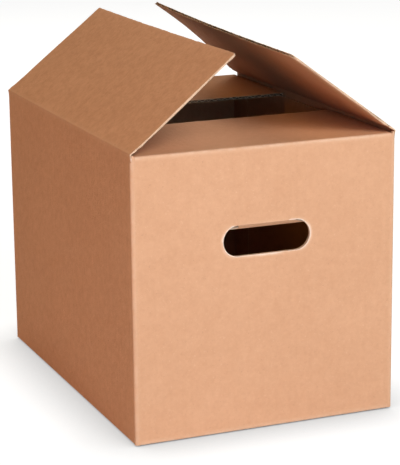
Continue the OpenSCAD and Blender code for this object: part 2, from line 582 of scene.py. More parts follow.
@dataclass
class BoxShell:
    """The folded sheet without its long top flaps: walls, hand holes, end flaps and bottom.

    Attributes:
        hole: The hand hole in each end panel.
        perimeter: Stations round the box.
        fluted_edge: Length in mm of a folded flap's end that shows the board's layers.
        bow: How far a panel bows outwards in mm, before its own factor.
        end_bow: Factor of the bow on the end panels.
        side_bow: Factor of the bow on the side panels.
        wall_wear_and_highlight: Pale tint along the upright folds, partly wear and partly painted
            highlight.
        lap_edge: Thickness of the glued lap's pressed edge in mm.
        lap_gain: Thickness that the lap gains away from its edge.
        lap_ease: Distance over which it gains it.
        end_press: Share of the board pressed out at an end flap's fold.
        base_press: The same at a long bottom flap's fold.
        base_reach: How far the long bottom flaps reach past their plain depth, in mm.
    """

    hole: HandHole = field(default_factory=HandHole)
    perimeter: Perimeter = field(default_factory=Perimeter.make)
    fluted_edge: float = 16.0
    bow: float = 0.5
    end_bow: float = 0.6
    side_bow: float = 1.6
    wall_wear_and_highlight: float = 0.7
    lap_edge: float = 0.35
    lap_gain: float = 2.05
    lap_ease: float = 16.0
    end_press: float = 0.5
    base_press: float = 0.3
    base_reach: float = 0.35

    def wall_rows(self) -> np.ndarray:
        """Heights of the wall's grid rows, in mm."""
        return np.concatenate([[BOX.end_panel_z + 0.6, 4, 7, BOX.base_z, 16, 28, 45, 65, 85, 105, 122, 138],
                               self.hole.z_rows,
                               [258, 267, 275, 282, 287, BOX.joint_z, 294, 295.5, 297]])

    def relief(self, station: np.ndarray, z: np.ndarray) -> np.ndarray:
        """How far the panels bow outwards: bow (1 - (2z/h - 1)^2) sin^2 along each panel.

        Args:
            station: Station indices, any shape.
            z: Heights in mm, broadcast with the stations.

        Returns:
            Outward distance in mm.
        """
        p = self.perimeter
        half = np.where(np.isin(p.panel, (2, 4)), BOX.width / 2, BOX.length / 2) - BOX.corner_r
        across = np.where(np.isin(p.panel, (2, 3, 4, 5)), 1 - np.clip(p.local / half, -1, 1) ** 2, 0)
        ends = 1 - np.clip(2 * z / BOX.height - 1, -1, 1) ** 2
        share = np.where(np.isin(p.panel, (3, 5)), self.side_bow, self.end_bow)
        return self.bow * (share * across)[station] * ends

    def wall_points(self, station: np.ndarray, z: np.ndarray) -> tuple[np.ndarray, np.ndarray]:
        """Outer and inner points of the walls at stations and heights.

        Args:
            station: Station indices, any shape.
            z: Heights in mm, the same shape.

        Returns:
            Outer and inner points, shape (..., 3).
        """
        p = self.perimeter
        out = -p.inward[station]
        thick = BOARD.thick * (1 - FOLD.press * hump(p.fold, FOLD.press_reach))
        lap = self.lap_edge + self.lap_gain * smoothstep(p.along / self.lap_ease)
        thick = np.where(p.panel == -1, lap, thick)[station]
        groove = FOLD.groove * hump(p.fold - FOLD.groove_at, FOLD.groove_reach) \
            - FOLD.ridge * hump(p.fold - FOLD.ridge_at, FOLD.ridge_reach)
        groove = np.where(p.panel > 0, groove, 0)[station]
        lift = self.relief(station, z) - groove
        high = self.lap_height(station, z)
        web = FOLD.web * hump(p.fold, FOLD.web_reach)
        web = np.where(np.isin(p.panel, (2.5, 3.5, 4.5)), web, 0)[station]
        high = high + web * smoothstep((z - FOLD.web_from) / FOLD.web_ease)
        outer = np.concatenate([p.outer[station] + out * lift[..., None], high[..., None]], axis=-1)
        inner = np.concatenate([p.outer[station] + out * (lift - thick)[..., None], high[..., None]],
                               axis=-1)
        return outer, inner

    def lap_height(self, station: np.ndarray, z: np.ndarray) -> np.ndarray:
        """Heights with the glued lap's ends drawn in, more the further they are from its fold."""
        p = self.perimeter
        reach = np.clip(p.along[p.panel == -1].max() - p.along, 0, None)
        keep = np.interp(reach, [0, 3, 34], [1.0, 0.90, 0.82])[station]
        middle = (BOX.end_top + BOARD.thick) / 2
        return middle + (z - middle) * keep

    def walls(self) -> Patch:
        """The upright tube, without the holes' frames and the places where other patches join."""
        p = self.perimeter
        rows = self.wall_rows()
        station, z = np.meshgrid(np.arange(p.along.size), rows, indexing="ij")
        outer, inner = self.wall_points(station, z)
        keep = np.ones((p.along.size - 1, rows.size - 1), bool)
        mid_z = (rows[1:] + rows[:-1]) / 2
        for panel, high, low in ((2, BOX.end_flap_half, BOX.end_flap_half),
                                 (3, BOX.long_flap_half, BOX.base_flap_half),
                                 (4, BOX.end_flap_half, BOX.end_flap_half),
                                 (5, BOX.long_flap_half, BOX.base_flap_half)):
            for half, ends in ((high, mid_z > BOX.joint_z), (low, mid_z < BOX.base_z)):
                span = p.span(panel, half)
                keep[span.start:span.stop - 1, ends] = False
        framed = np.abs(mid_z - self.hole.z) < self.hole.frame_up
        for panel in (2, 4):
            span = p.span(panel, self.hole.frame_half)
            keep[span.start:span.stop - 1, framed] = False
        uv = np.stack([p.along[station], z], axis=-1)
        # Pale tint along the upright folds: partly wear, partly painted highlight.
        near = self.wall_wear_and_highlight * hump(p.fold, 3.0)[station]
        return Patch.from_grid(outer, inner, uv, near, keep)

    def hole_frame(self, panel: int) -> list[Patch]:
        """A hand hole's frame, drawn from the wall's grid to the rim, and its pushed-in tab.

        The frame's points are outline + (rim - outline) k, with k eased towards the rim.

        Args:
            panel: 4 for the front, 2 for the back.

        Returns:
            Frame and tab.
        """
        p, hole = self.perimeter, self.hole
        sign = 1.0 if panel == 4 else -1.0
        k = 1 - np.append(np.linspace(1, 0.1, 8) ** 1.5, [0.018, 0.008, 0.0])
        rim, outline = hole.rim(), hole.outline()
        rim, outline = np.vstack([rim, rim[:1]]), np.vstack([outline, outline[:1]])
        flat = outline[None] + (rim - outline)[None] * k[:, None, None]
        middle = p.middle(panel)
        half = BOX.width / 2 - BOX.corner_r
        ends = 1 - (2 * flat[..., 1] / BOX.height - 1) ** 2
        lift = self.bow * self.end_bow * (1 - (flat[..., 0] / half) ** 2) * ends
        y = sign * (-BOX.length / 2 - lift)
        outer = np.stack([sign * flat[..., 0], y, flat[..., 1]], axis=-1)
        inner = outer + np.array([0, sign * BOARD.thick, 0])
        uv = np.stack([middle + flat[..., 0], flat[..., 1]], axis=-1)
        from_rim = np.linalg.norm(flat - rim[None], axis=-1)
        # Pale tint round the rim: bared fibres with a painted highlight fringe, weaker along the tab's
        # crease.
        at_crease = (rim[:, 1] > hole.z + hole.height / 2 - 0.3) & (rim[:, 0] < hole.crease_half * 0.8)
        wear_and_highlight = np.where(at_crease, hole.crease_wear_and_highlight, hole.rim_wear_and_highlight) * hump(from_rim, 1.1)
        frame_patch = Patch.from_grid(outer, inner, uv, wear_and_highlight)

        path = Curl(hole.tab_curl)
        v = np.concatenate([np.linspace(0, 6.6, 9), np.linspace(7, 12, 12),
                            np.linspace(14, hole.height, 8)])
        share = np.linspace(-1, 1, hole.steps + 1)
        grid_v, grid_share = np.meshgrid(v, share, indexing="xy")
        across = grid_share * hole.tab_half(grid_v) + hole.tab_lean * smoothstep(grid_v / 6.6)
        crease_z = hole.z + hole.height / 2
        crease_lift = self.bow * self.end_bow * (1 - (across / half) ** 2) \
            * (1 - (2 * crease_z / BOX.height - 1) ** 2)
        faces = []
        thick = hole.crease_thick + (BOARD.thick - hole.crease_thick) * smoothstep(grid_v / 14.0)
        for depth in (np.zeros(grid_v.shape), thick):
            forward, inward = path.place(grid_v, depth)
            faces.append(np.stack([sign * across,
                                   sign * (-BOX.length / 2 - crease_lift + inward),
                                   crease_z - forward], axis=-1))
        uv = np.stack([middle + across, crease_z - grid_v], axis=-1)
        # Pale tint along the tab's crease: painted highlight on the bend, with some wear.
        near = 1.2 * hump(grid_v, 0.7)
        tab = Patch.from_grid(faces[0], faces[1], uv, near, flip=True)
        return [frame_patch, tab]

    def folded_flap(self, panel: int, half: float, path: Curl, end: float, up: float,
                    start_z: float, thick: Callable[[np.ndarray], np.ndarray]) -> Patch:
        """A flap folded over from a wall's top or bottom edge.

        Its points lie forward (up or down) and inward of the wall's own points by the path's
        distances. Within the path's lead they settle from the wall's shape to its plane.

        Args:
            panel: Panel that carries it.
            half: Half width of the flap in mm.
            path: Path of the fold.
            end: Last place along the path.
            up: 1 for a top flap, -1 for a bottom flap.
            start_z: Height where the flap joins the wall.
            thick: Board thickness at places along the path.

        Returns:
            The patch, joined to the wall's grid along its first row.
        """
        p = self.perimeter
        span = p.span(panel, half)
        station = np.arange(p.along.size)[span]
        v = path.nodes(end, 8, np.array([2.0, 4, 7, 12, 20, 35, 55, 80, 100, 115, 126]))
        grid_s, grid_v = np.meshgrid(station, v, indexing="ij")
        _, inward = panel_ways(panel)
        base, base_inner = self.wall_points(grid_s, np.full(grid_s.shape, start_z))
        settle = smoothstep(grid_v / path.lead)[..., None]
        off_plane = base[..., :2] @ inward + (BOX.width if panel in (3, 5) else BOX.length) / 2
        base_xy = base[..., :2] - inward * off_plane[..., None] * settle
        into = p.inward[grid_s] * (1 - settle) + inward * settle
        first = np.linalg.norm(base_inner - base, axis=-1)
        board = thick(grid_v)
        board = board + (first - BOARD.thick) * (1 - settle[..., 0])
        faces = []
        for depth in (np.zeros(grid_v.shape), board):
            forward, inwards = path.place(grid_v, depth)
            through = depth * np.cos(path.angle(grid_v))
            xy = base_xy + inward * (inwards - through)[..., None] + into * through[..., None]
            faces.append(np.concatenate([xy, (start_z + up * forward)[..., None]], axis=-1))
        uv = np.stack([p.along[grid_s], start_z + up * grid_v], axis=-1)
        # Pale tint along the bend: partly wear, partly painted highlight, stronger on the end panels'
        # flaps.
        near = (1.2 if panel in (2, 4) else 0.45) * hump(grid_v - path.middle, 2.6)
        return Patch.from_grid(faces[0], faces[1], uv, near, flip=up < 0)

    def end_fold(self) -> tuple[Curl, float]:
        """Path of a top end flap and its last place."""
        path = Curl.fold(BOX.end_top - BOX.joint_z - BOX.fold_r, BOX.fold_r, 90)
        return path, path.bend_end + BOX.flap_depth - BOX.fold_r

    def low_end_fold(self) -> tuple[Curl, float]:
        """Path of a bottom end flap, which rises over the long flaps, and its last place."""
        lead = BOX.base_z - BOX.end_panel_z - BOX.fold_r
        steep = 107.0
        ease = 2
        bend_end = lead + BOX.fold_r * math.radians(steep)
        slope = math.sin(math.radians(steep - 90))
        climb = (BOARD.thick + 0.1 - BOX.end_panel_z) / slope \
            - BOX.fold_r * (1 - math.sin(math.radians(steep))) / slope
        path = Curl(((0.0, 0.0), (lead, 0.0), (bend_end, steep), (bend_end + climb - ease, steep),
                     (bend_end + climb + ease, 90.0)))
        return path, bend_end + BOX.flap_depth - BOX.fold_r

    def base_fold(self) -> tuple[Curl, float]:
        """Path of a long bottom flap and its last place."""
        path = Curl.fold(BOX.base_z - BOX.corner_r, BOX.corner_r, 90)
        return path, path.bend_end + BOX.flap_depth - BOX.corner_r

    def fluted_end(self, panel: int, half: float, path: Curl, end: float, up: float,
                   start_z: float, seed: int, tear: float = 1.0) -> list[Solid]:
        """The last stretch of a folded flap, with its flutes open along the free edge.

        Args:
            panel: Panel that carries the flap.
            half: Half width of the flap in mm.
            path: Path of the fold.
            end: Last place along the path.
            up: 1 for a top flap, -1 for a bottom flap.
            start_z: Height where the flap joins the wall.
            seed: Seed of the edge's small tears.
            tear: Deepest tear in mm.

        Returns:
            The board's three layers.
        """
        tangent, inward = panel_ways(panel)
        reach = (BOX.width if panel in (3, 5) else BOX.length) / 2

        def place(s: np.ndarray, t: np.ndarray, depth: np.ndarray) -> np.ndarray:
            """Point at place s along the path, t along the edge and a depth in the board."""
            forward, inwards = path.place(s, depth)
            xy = t[..., None] * tangent + (inwards - reach)[..., None] * inward
            return np.concatenate([xy, (start_z + up * forward)[..., None]], axis=-1)

        # Here the liners' cut edges take the dark medium finish: painted shade along the open edge.
        strip = FlutedStrip(place, end - self.fluted_edge, end, half, seed, flip=up < 0,
                            uv_origin=(self.perimeter.middle(panel), start_z), uv_up=up, tear=tear,
                            open_press=0.12, wear=0.9, liner_edge=Face.MEDIUM, liner_nodes=4,
                            wave_nodes=9)
        return strip.solids()

    def solids(self) -> list[Solid]:
        """All closed solids of the shell."""
        top, top_end = self.end_fold()
        low, low_end = self.low_end_fold()
        base, base_end = self.base_fold()

        def pressed_at(path: Curl, share: float) -> Callable[[np.ndarray], np.ndarray]:
            """Thickness along a path whose fold has a share of the board pressed out."""
            return lambda v: BOARD.thick * (1 - share * hump(v - path.middle, 2.6))

        patches = [self.walls()]
        open_ends: list[Solid] = []
        for panel in (2, 4):
            patches += self.hole_frame(panel)
            for path, end, up, start_z, seed in ((top, top_end, 1, BOX.joint_z, 10 + panel),
                                                 (low, low_end, -1, BOX.base_z, 20 + panel)):
                patches.append(self.folded_flap(panel, BOX.end_flap_half, path, end - self.fluted_edge,
                                                up, start_z, pressed_at(path, self.end_press)))
                open_ends += self.fluted_end(panel, BOX.end_flap_half, path, end, up, start_z, seed)
        for panel in (3, 5):
            patches.append(self.folded_flap(panel, BOX.base_flap_half, base, base_end - self.fluted_edge,
                                            -1, BOX.base_z, pressed_at(base, self.base_press)))
            open_ends += self.fluted_end(panel, BOX.base_flap_half, base, base_end + self.base_reach, -1,
                                         BOX.base_z, 30 + panel, tear=0.15)
        return [closed_sheet(patches)] + open_ends

    def build(self, finishes: list[bpy.types.Material]) -> bpy.types.Object:
        """Builds the shell, which stands for the frame's box_body and rides on its body."""
        piece = place_mesh("folded_box", self.solids(), finishes)
        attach(piece, "box")
        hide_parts("box_body")
        return piece


@dataclass
class FlutedStrip:
    """A stretch of board made of its real layers: outer liner, waved medium, inner liner.

    With s along the flutes, t across them and depth below the outer face, the medium's middle
    lies at depth T/2 + A cos(2 pi t / pitch), where A fills the room that the liners leave in the
    thickness T(s). Near the cut sides the medium widens until it closes the board.

    Attributes:
        place: Gives the point at (s, t, depth).
        start: First s in mm.
        end: Last s in mm, at the open edge.
        half: Half width in mm.
        seed: Seed of the edges' small tears.
        thick: Board thickness at s.
        flip: Turn the faces over.
        uv_origin: Flat place of s = 0, t = 0.
        uv_up: Direction of s on the flat sheet.
        round_first: Radius of the corner at the open edge where t is lowest.
        round_last: Radius of the corner at the open edge where t is highest.
        tear: Depth in mm of the open edge's tears.
        side_press: Largest share of the board pressed out along the cut sides.
        open_press: Largest share pressed out along the open edge.
        wear: Wear of the faces along the edges.
        uneven: Largest random part that the pressing lacks.
        liner_edge: Material of the liners' cut edges.
        liner_nodes: Points across a liner for each flute.
        wave_nodes: Points across the medium for each flute.
        press_reach: How far the pressing reaches from an edge, in mm.
        liner_share: Largest share of the pressed board that one liner takes.
        sunk_share: Share of the pressing taken from the outer side.
    """

    place: Callable[[np.ndarray, np.ndarray, np.ndarray], np.ndarray]
    start: float
    end: float
    half: float
    seed: int
    thick: Callable[[np.ndarray], np.ndarray] = lambda s: np.full(s.shape, BOARD.thick)
    flip: bool = False
    uv_origin: tuple[float, float] = (0.0, 0.0)
    uv_up: float = 1.0
    round_first: float = 2.0
    round_last: float = 2.0
    tear: float = 0.5
    side_press: float = 0.5
    open_press: float = 0.22
    wear: float = 0.5
    uneven: float = 0.6
    liner_edge: Face = Face.CUT
    liner_nodes: int = 5
    wave_nodes: int = 12
    press_reach: float = 2.8
    liner_share: float = 0.32
    sunk_share: float = 0.3

    def lost(self, s: np.ndarray, t: np.ndarray) -> np.ndarray:
        """Thickness pressed out along the cut edges by the knives, in mm.

        It is T(s) times the larger of two bell curves, one from the cut sides and one from the
        open edge, each scaled by its unevenness.
        """
        from_side, from_tip = self.half - np.abs(t), self.end - s
        side = self.side_press * hump(from_side, self.press_reach) * self.unevenness(s, 1)
        tip = self.open_press * hump(from_tip, self.press_reach) * self.unevenness(t, 2)
        return self.thick(s) * np.maximum(side, tip)

    def unevenness(self, places: np.ndarray, turn: int) -> np.ndarray:
        """Share of the pressing at each place: 1 less a random part, straight between knots."""
        knots = np.arange(-BOX.length, BOX.length, 3.6)
        random = np.random.default_rng(self.seed * 10 + turn).random(knots.size)
        return 1 - self.uneven * np.interp(places, knots, random)

    def grid(self, t_nodes: np.ndarray, seed: int, inset: float) -> tuple[np.ndarray, np.ndarray]:
        """Grid of (t, s) whose open edge and cut sides are slightly torn.

        Args:
            t_nodes: Places across, -1 to 1.
            seed: Seed of this layer's tears.
            inset: How far this layer stops short of the board's edge.

        Returns:
            Arrays s and t, shape (nodes across, nodes along).
        """
        rng = np.random.default_rng(seed)
        length = self.end - self.start
        from_end = np.array([0.0, 0.5, 1.5, 4, 8, 16, 30, 50, 75, 100, 120, 130])
        s_nodes = np.append(length - from_end[from_end < length - 1.0], 0.0)[::-1] / length
        across = t_nodes * self.half
        torn = ragged(rng, across, self.tear, 1.7) + ragged(rng, across, self.tear * 0.8, 9.0) + inset
        for radius, edge in ((self.round_first, across + self.half),
                             (self.round_last, self.half - across)):
            inside = np.clip(radius - edge, 0, radius)
            torn = torn + radius - np.sqrt(radius * radius - inside * inside)
        s = self.start + s_nodes[None, :] * (length - torn[:, None])
        side = ragged(rng, s_nodes * length, self.tear * 0.8, 2.3) + inset
        t = t_nodes[:, None] * (self.half - side[None, :])
        return s, t

    def layer(self, s: np.ndarray, t: np.ndarray, top: np.ndarray, bottom: np.ndarray,
              faces: tuple[Face, Face], rim: Face = Face.CUT) -> Solid:
        """One closed layer between two depths.

        Args:
            s: Places along the flutes.
            t: Places across them.
            top: Depth of the layer's outer face.
            bottom: Depth of its inner face.
            faces: Materials of the two faces.
            rim: Material of the cut edges.

        Returns:
            The closed solid.
        """
        uv = np.stack([self.uv_origin[0] + t, self.uv_origin[1] + self.uv_up * s], axis=-1)
        edge = np.minimum(self.end - s, self.half - np.abs(t))
        patch = Patch.from_grid(self.place(s, t, top), self.place(s, t, bottom), uv,
                                self.wear * hump(edge, 2.2), flip=self.flip)
        return closed_sheet([patch], *faces, inner_wear_and_highlight=1.0, rim_face=rim)

    def solids(self) -> list[Solid]:
        """Outer liner, medium and inner liner as closed solids."""
        flutes = 2 * self.half / BOARD.pitch
        coarse = np.linspace(-1, 1, int(flutes * self.liner_nodes) + 1)
        fine = np.linspace(-1, 1, int(flutes * self.wave_nodes) + 1)
        s, t = self.grid(coarse, self.seed * 3, 0.0)
        lost = self.lost(s, t)
        total = self.thick(s) - lost
        liner = np.minimum(BOARD.liner, total * self.liner_share)
        sunk = lost * self.sunk_share
        # Both liners' faces inside the board take the dark medium finish: painted shade in the flute
        # channels.
        outer = self.layer(s, t, sunk, sunk + liner, (Face.OUTER, Face.MEDIUM), self.liner_edge)
        s, t = self.grid(coarse, self.seed * 3 + 1, 0.1)
        inner = self.layer(s, t, sunk + total - liner, sunk + total, (Face.MEDIUM, Face.INNER),
                           self.liner_edge)
        s, t = self.grid(fine, self.seed * 3 + 2, 0.35)
        lost = self.lost(s, t)
        total = self.thick(s) - lost
        liner = np.minimum(BOARD.liner, total * self.liner_share)
        room = total - 2 * liner
        sheet = np.minimum(BOARD.medium, room * 0.4)
        swing = (room - sheet) / 2
        phase = 2 * math.pi * t / BOARD.pitch
        slope = swing * 2 * math.pi / BOARD.pitch * np.sin(phase)
        half = sheet / 2 * np.sqrt(1 + slope * slope)
        closing = smoothstep((np.abs(t) - self.half + 2.2) / 1.4)
        centre = lost * self.sunk_share + total / 2 + swing * np.cos(phase) * (1 - closing)
        half = half + (room / 2 - 0.01 - half) * closing
        medium = self.layer(s, t, centre - half, centre + half, (Face.MEDIUM, Face.MEDIUM))
        return [outer, medium, inner]


@dataclass
class LongFlap:
    """A long top flap, half open, hinged on its score along Y.

    With A the rest angle, a point at s from the score, t along it and a depth below the outer face
    is hinge + s (cos A, sin A) + (lift - depth) (-sin A, cos A), mirrored on the right. The lift is
    the board's warp: tan(twist(t)) ramp(s), less a sag (1 - (t / half)^2) (s / length)^2, plus a
    bulge (t / half)^2 sin(pi s / length) in the far half. The far end is drawn in by a skew that
    grows with both s and t.

    Attributes:
        side: Left or right.
        open_deg: Angle above level at rest, which the frame has too.
        near_deg: The same angle at the near end.
        far_deg: The same angle at the far end.
        bow: Sag of the free edge's middle in mm.
        seed: Seed of the edges' small tears.
        near_round: Radius of the near free corner.
        far_round: Radius of the far free corner.
        far_skew: How far the far free corner is drawn towards the front, in mm.
        far_bulge: Height of the bulge at the far end in mm.
        tear: Depth in mm of the free edge's tears.
        side_press: Largest share of the board pressed out along the cut sides.
        open_press: Largest share pressed out along the free edge.
        wear: Wear along the edges.
        start: Distance in mm from the score where the board's layers start.
        fold_r: Outside radius of the score's bend.
        press_reach: Distance from the score at which the board has its full thickness.
        ease: Distance past the start over which the twist sets in.
    """

    side: Side
    open_deg: float
    near_deg: float
    far_deg: float
    bow: float
    seed: int
    near_round: float = 2.0
    far_round: float = 2.0
    far_skew: float = 0.0
    far_bulge: float = 0.0
    tear: float = 0.5
    side_press: float = 0.5
    open_press: float = 0.22
    wear: float = 0.5
    start: float = 8.0
    fold_r: float = 1.4
    press_reach: float = 16.0
    ease: float = 24.0

    @property
    def name(self) -> str:
        """left or right."""
        return self.side.name.lower()

    @property
    def panel(self) -> int:
        """Panel that carries the flap."""
        return 3 if self.side is Side.LEFT else 5

    @property
    def along_sign(self) -> float:
        """1 where t grows with Y, -1 where it falls."""
        return float(self.side.value)

    def thickness(self, away: np.ndarray, reach: float) -> np.ndarray:
        """Board thickness at a distance from the score: pressed at it, full beyond the reach."""
        return BOARD.pressed + (BOARD.thick - BOARD.pressed) * smoothstep(np.abs(away) / reach)

    def warp(self, s: np.ndarray, t: np.ndarray) -> np.ndarray:
        """Lift of the board's outer face off its plane in mm."""
        share = t * self.along_sign / BOX.long_flap_half
        near = math.radians(self.near_deg - self.open_deg)
        far = math.radians(self.far_deg - self.open_deg)
        twist = (near * (1 - share) + far * (1 + share)) / 2
        past = np.clip(s - self.start, 0, None)
        length = BOX.flap_depth - self.start
        eased = past * past / (2 * self.ease)
        ramp = np.where(past < self.ease, eased, past - self.ease / 2)
        ramp = ramp * BOX.flap_depth / (length - self.ease / 2)
        out = np.clip(past / length, 0, 1)
        sag = self.bow * (1 - share ** 2) * out ** 2
        bulge = self.far_bulge * np.clip(share, 0, 1) ** 2 * np.sin(out * math.pi)
        return np.tan(twist) * ramp - sag + bulge

    def place(self, s: np.ndarray, t: np.ndarray, depth: np.ndarray) -> np.ndarray:
        """Point at (s, t, depth) of the flap, in mm."""
        angle = math.radians(self.open_deg)
        rise = self.warp(s, t) - depth
        inward = s * math.cos(angle) - rise * math.sin(angle)
        x = self.side.value * (BOX.width / 2 - inward)
        z = BOX.height + s * math.sin(angle) + rise * math.cos(angle)
        y = t * self.along_sign
        skew = self.far_skew * np.clip(y / BOX.long_flap_half, 0, None) * np.clip(s / BOX.flap_depth, 0, 1)
        return np.stack([x, y - skew, z], axis=-1)

    def build(self, shell: BoxShell, finishes: list[bpy.types.Material]) -> None:
        """Builds the flap, on its own body, and the score's strip, which is attached to no body.

        Args:
            shell: The box that carries it.
            finishes: Materials by Face index.
        """
        middle = shell.perimeter.middle(self.panel)
        first, last = self.far_round, self.near_round
        if self.side is Side.RIGHT:
            first, last = last, first
        strip = FlutedStrip(self.place, self.start, BOX.flap_depth, BOX.long_flap_half, self.seed,
                            thick=lambda s: self.thickness(s, self.press_reach),
                            uv_origin=(middle, BOX.height), round_first=first, round_last=last,
                            tear=self.tear, side_press=self.side_press, open_press=self.open_press,
                            wear=self.wear)
        panel = place_mesh(f"{self.name}_long_flap", strip.solids(), finishes)
        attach(panel, f"{self.name}_flap")
        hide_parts(f"{self.name}_flap")

        turn = math.radians(90 - self.open_deg)
        rise = BOX.height - BOX.joint_z
        tangent = self.fold_r * math.tan(turn / 2)
        path = Curl.fold(rise - tangent, self.fold_r, 90 - self.open_deg)
        end = path.bend_end + self.start - tangent

        def thick(v: np.ndarray) -> np.ndarray:
            """Thickness along the strip, pressed more sharply on the wall's side."""
            away = v - path.middle
            stretch = self.start / (end - path.middle)
            return np.where(away < 0, self.thickness(away, -path.middle),
                            self.thickness(away * stretch, self.press_reach))

        patch = shell.folded_flap(self.panel, BOX.long_flap_half, path, end, 1, BOX.joint_z, thick)
        score = place_mesh(f"{self.name}_score", [closed_sheet([patch])], finishes)
        f"{self.name}_flap"
        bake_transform(score)


# Finishes


class Graph:
    """Short ways to lay out the nodes of one material or world."""

    def __init__(self, holder: bpy.types.Material | bpy.types.World) -> None:
        """Starts an empty node tree in a new material or world."""
        self.holder = holder
        self.holder.use_nodes = True
        self.tree = self.holder.node_tree
        self.tree.nodes.clear()

    def node(self, kind: str, **settings: object) -> bpy.types.Node:
        """Adds a node.

        Args:
            kind: Blender's node type.
            settings: Property values; a key in capitals with _ for spaces sets an input.

        Returns:
            The node.
        """
        made = self.tree.nodes.new(kind)
        for key, value in settings.items():
            if key[0].isupper():
                made.inputs[key.replace("_", " ")].default_value = value
            else:
                setattr(made, key, value)
        return made

    def link(self, source: bpy.types.NodeSocket, target: bpy.types.NodeSocket) -> None:
        """Joins two sockets."""
        self.tree.links.new(source, target)

    def sum(self, operation: str, first: object, second: object) -> bpy.types.NodeSocket:
        """A Math node on sockets or numbers."""
        made = self.node("ShaderNodeMath", operation=operation)
        for index, value in enumerate((first, second)):
            if isinstance(value, bpy.types.NodeSocket):
                self.link(value, made.inputs[index])
            else:
                made.inputs[index].default_value = value
        return made.outputs[0]

    def mix(self, factor: object, first: object, second: object) -> bpy.types.NodeSocket:
        """A colour mix of sockets or RGB tuples by a factor socket or number."""
        made = self.node("ShaderNodeMix", data_type="RGBA")
        for index, value in ((0, factor), (6, first), (7, second)):
            if isinstance(value, bpy.types.NodeSocket):
                self.link(value, made.inputs[index])
            else:
                made.inputs[index].default_value = value if index == 0 else (*value, 1.0)
        return made.outputs[2]

    def noise(self, place: bpy.types.NodeSocket, size: tuple[float, float, float], detail: float,
              rough: float = 0.55) -> bpy.types.NodeSocket:
        """Noise whose features have the given sizes in metres, centred on 0.5."""
        scale = self.node("ShaderNodeMapping", vector_type="POINT")
        scale.inputs["Scale"].default_value = tuple(1 / s for s in size)
        self.link(place, scale.inputs["Vector"])
        made = self.node("ShaderNodeTexNoise", Scale=1.0, Detail=detail, Roughness=rough)
        self.link(scale.outputs[0], made.inputs["Vector"])
        return made.outputs["Fac"]

    def spread(self, value: bpy.types.NodeSocket, low: float, high: float) -> bpy.types.NodeSocket:
        """The value stretched so that low gives 0 and high gives 1, cut to that range."""
        made = self.node("ShaderNodeMapRange")
        made.inputs["From Min"].default_value = low
        made.inputs["From Max"].default_value = high
        self.link(value, made.inputs["Value"])
        return made.outputs[0]

    def paper(self, colour: bpy.types.NodeSocket, height: bpy.types.NodeSocket, depth: float,
              specular: float, roughness: float) -> None:
        """Ends a material in a paper shader.

        Args:
            colour: Base colour.
            height: Height of the surface, 0 to 1.
            depth: Depth of the bumps in metres.
            specular: Specular level.
            roughness: Roughness.
        """
        bump = self.node("ShaderNodeBump", Strength=1.0, Distance=depth)
        self.link(height, bump.inputs["Height"])
        shader = self.node("ShaderNodeBsdfPrincipled")
        shader.inputs["Specular IOR Level"].default_value = specular
        shader.inputs["Roughness"].default_value = roughness
        self.link(colour, shader.inputs["Base Color"])
        self.link(bump.outputs[0], shader.inputs["Normal"])
        self.link(shader.outputs[0], self.node("ShaderNodeOutputMaterial").inputs["Surface"])


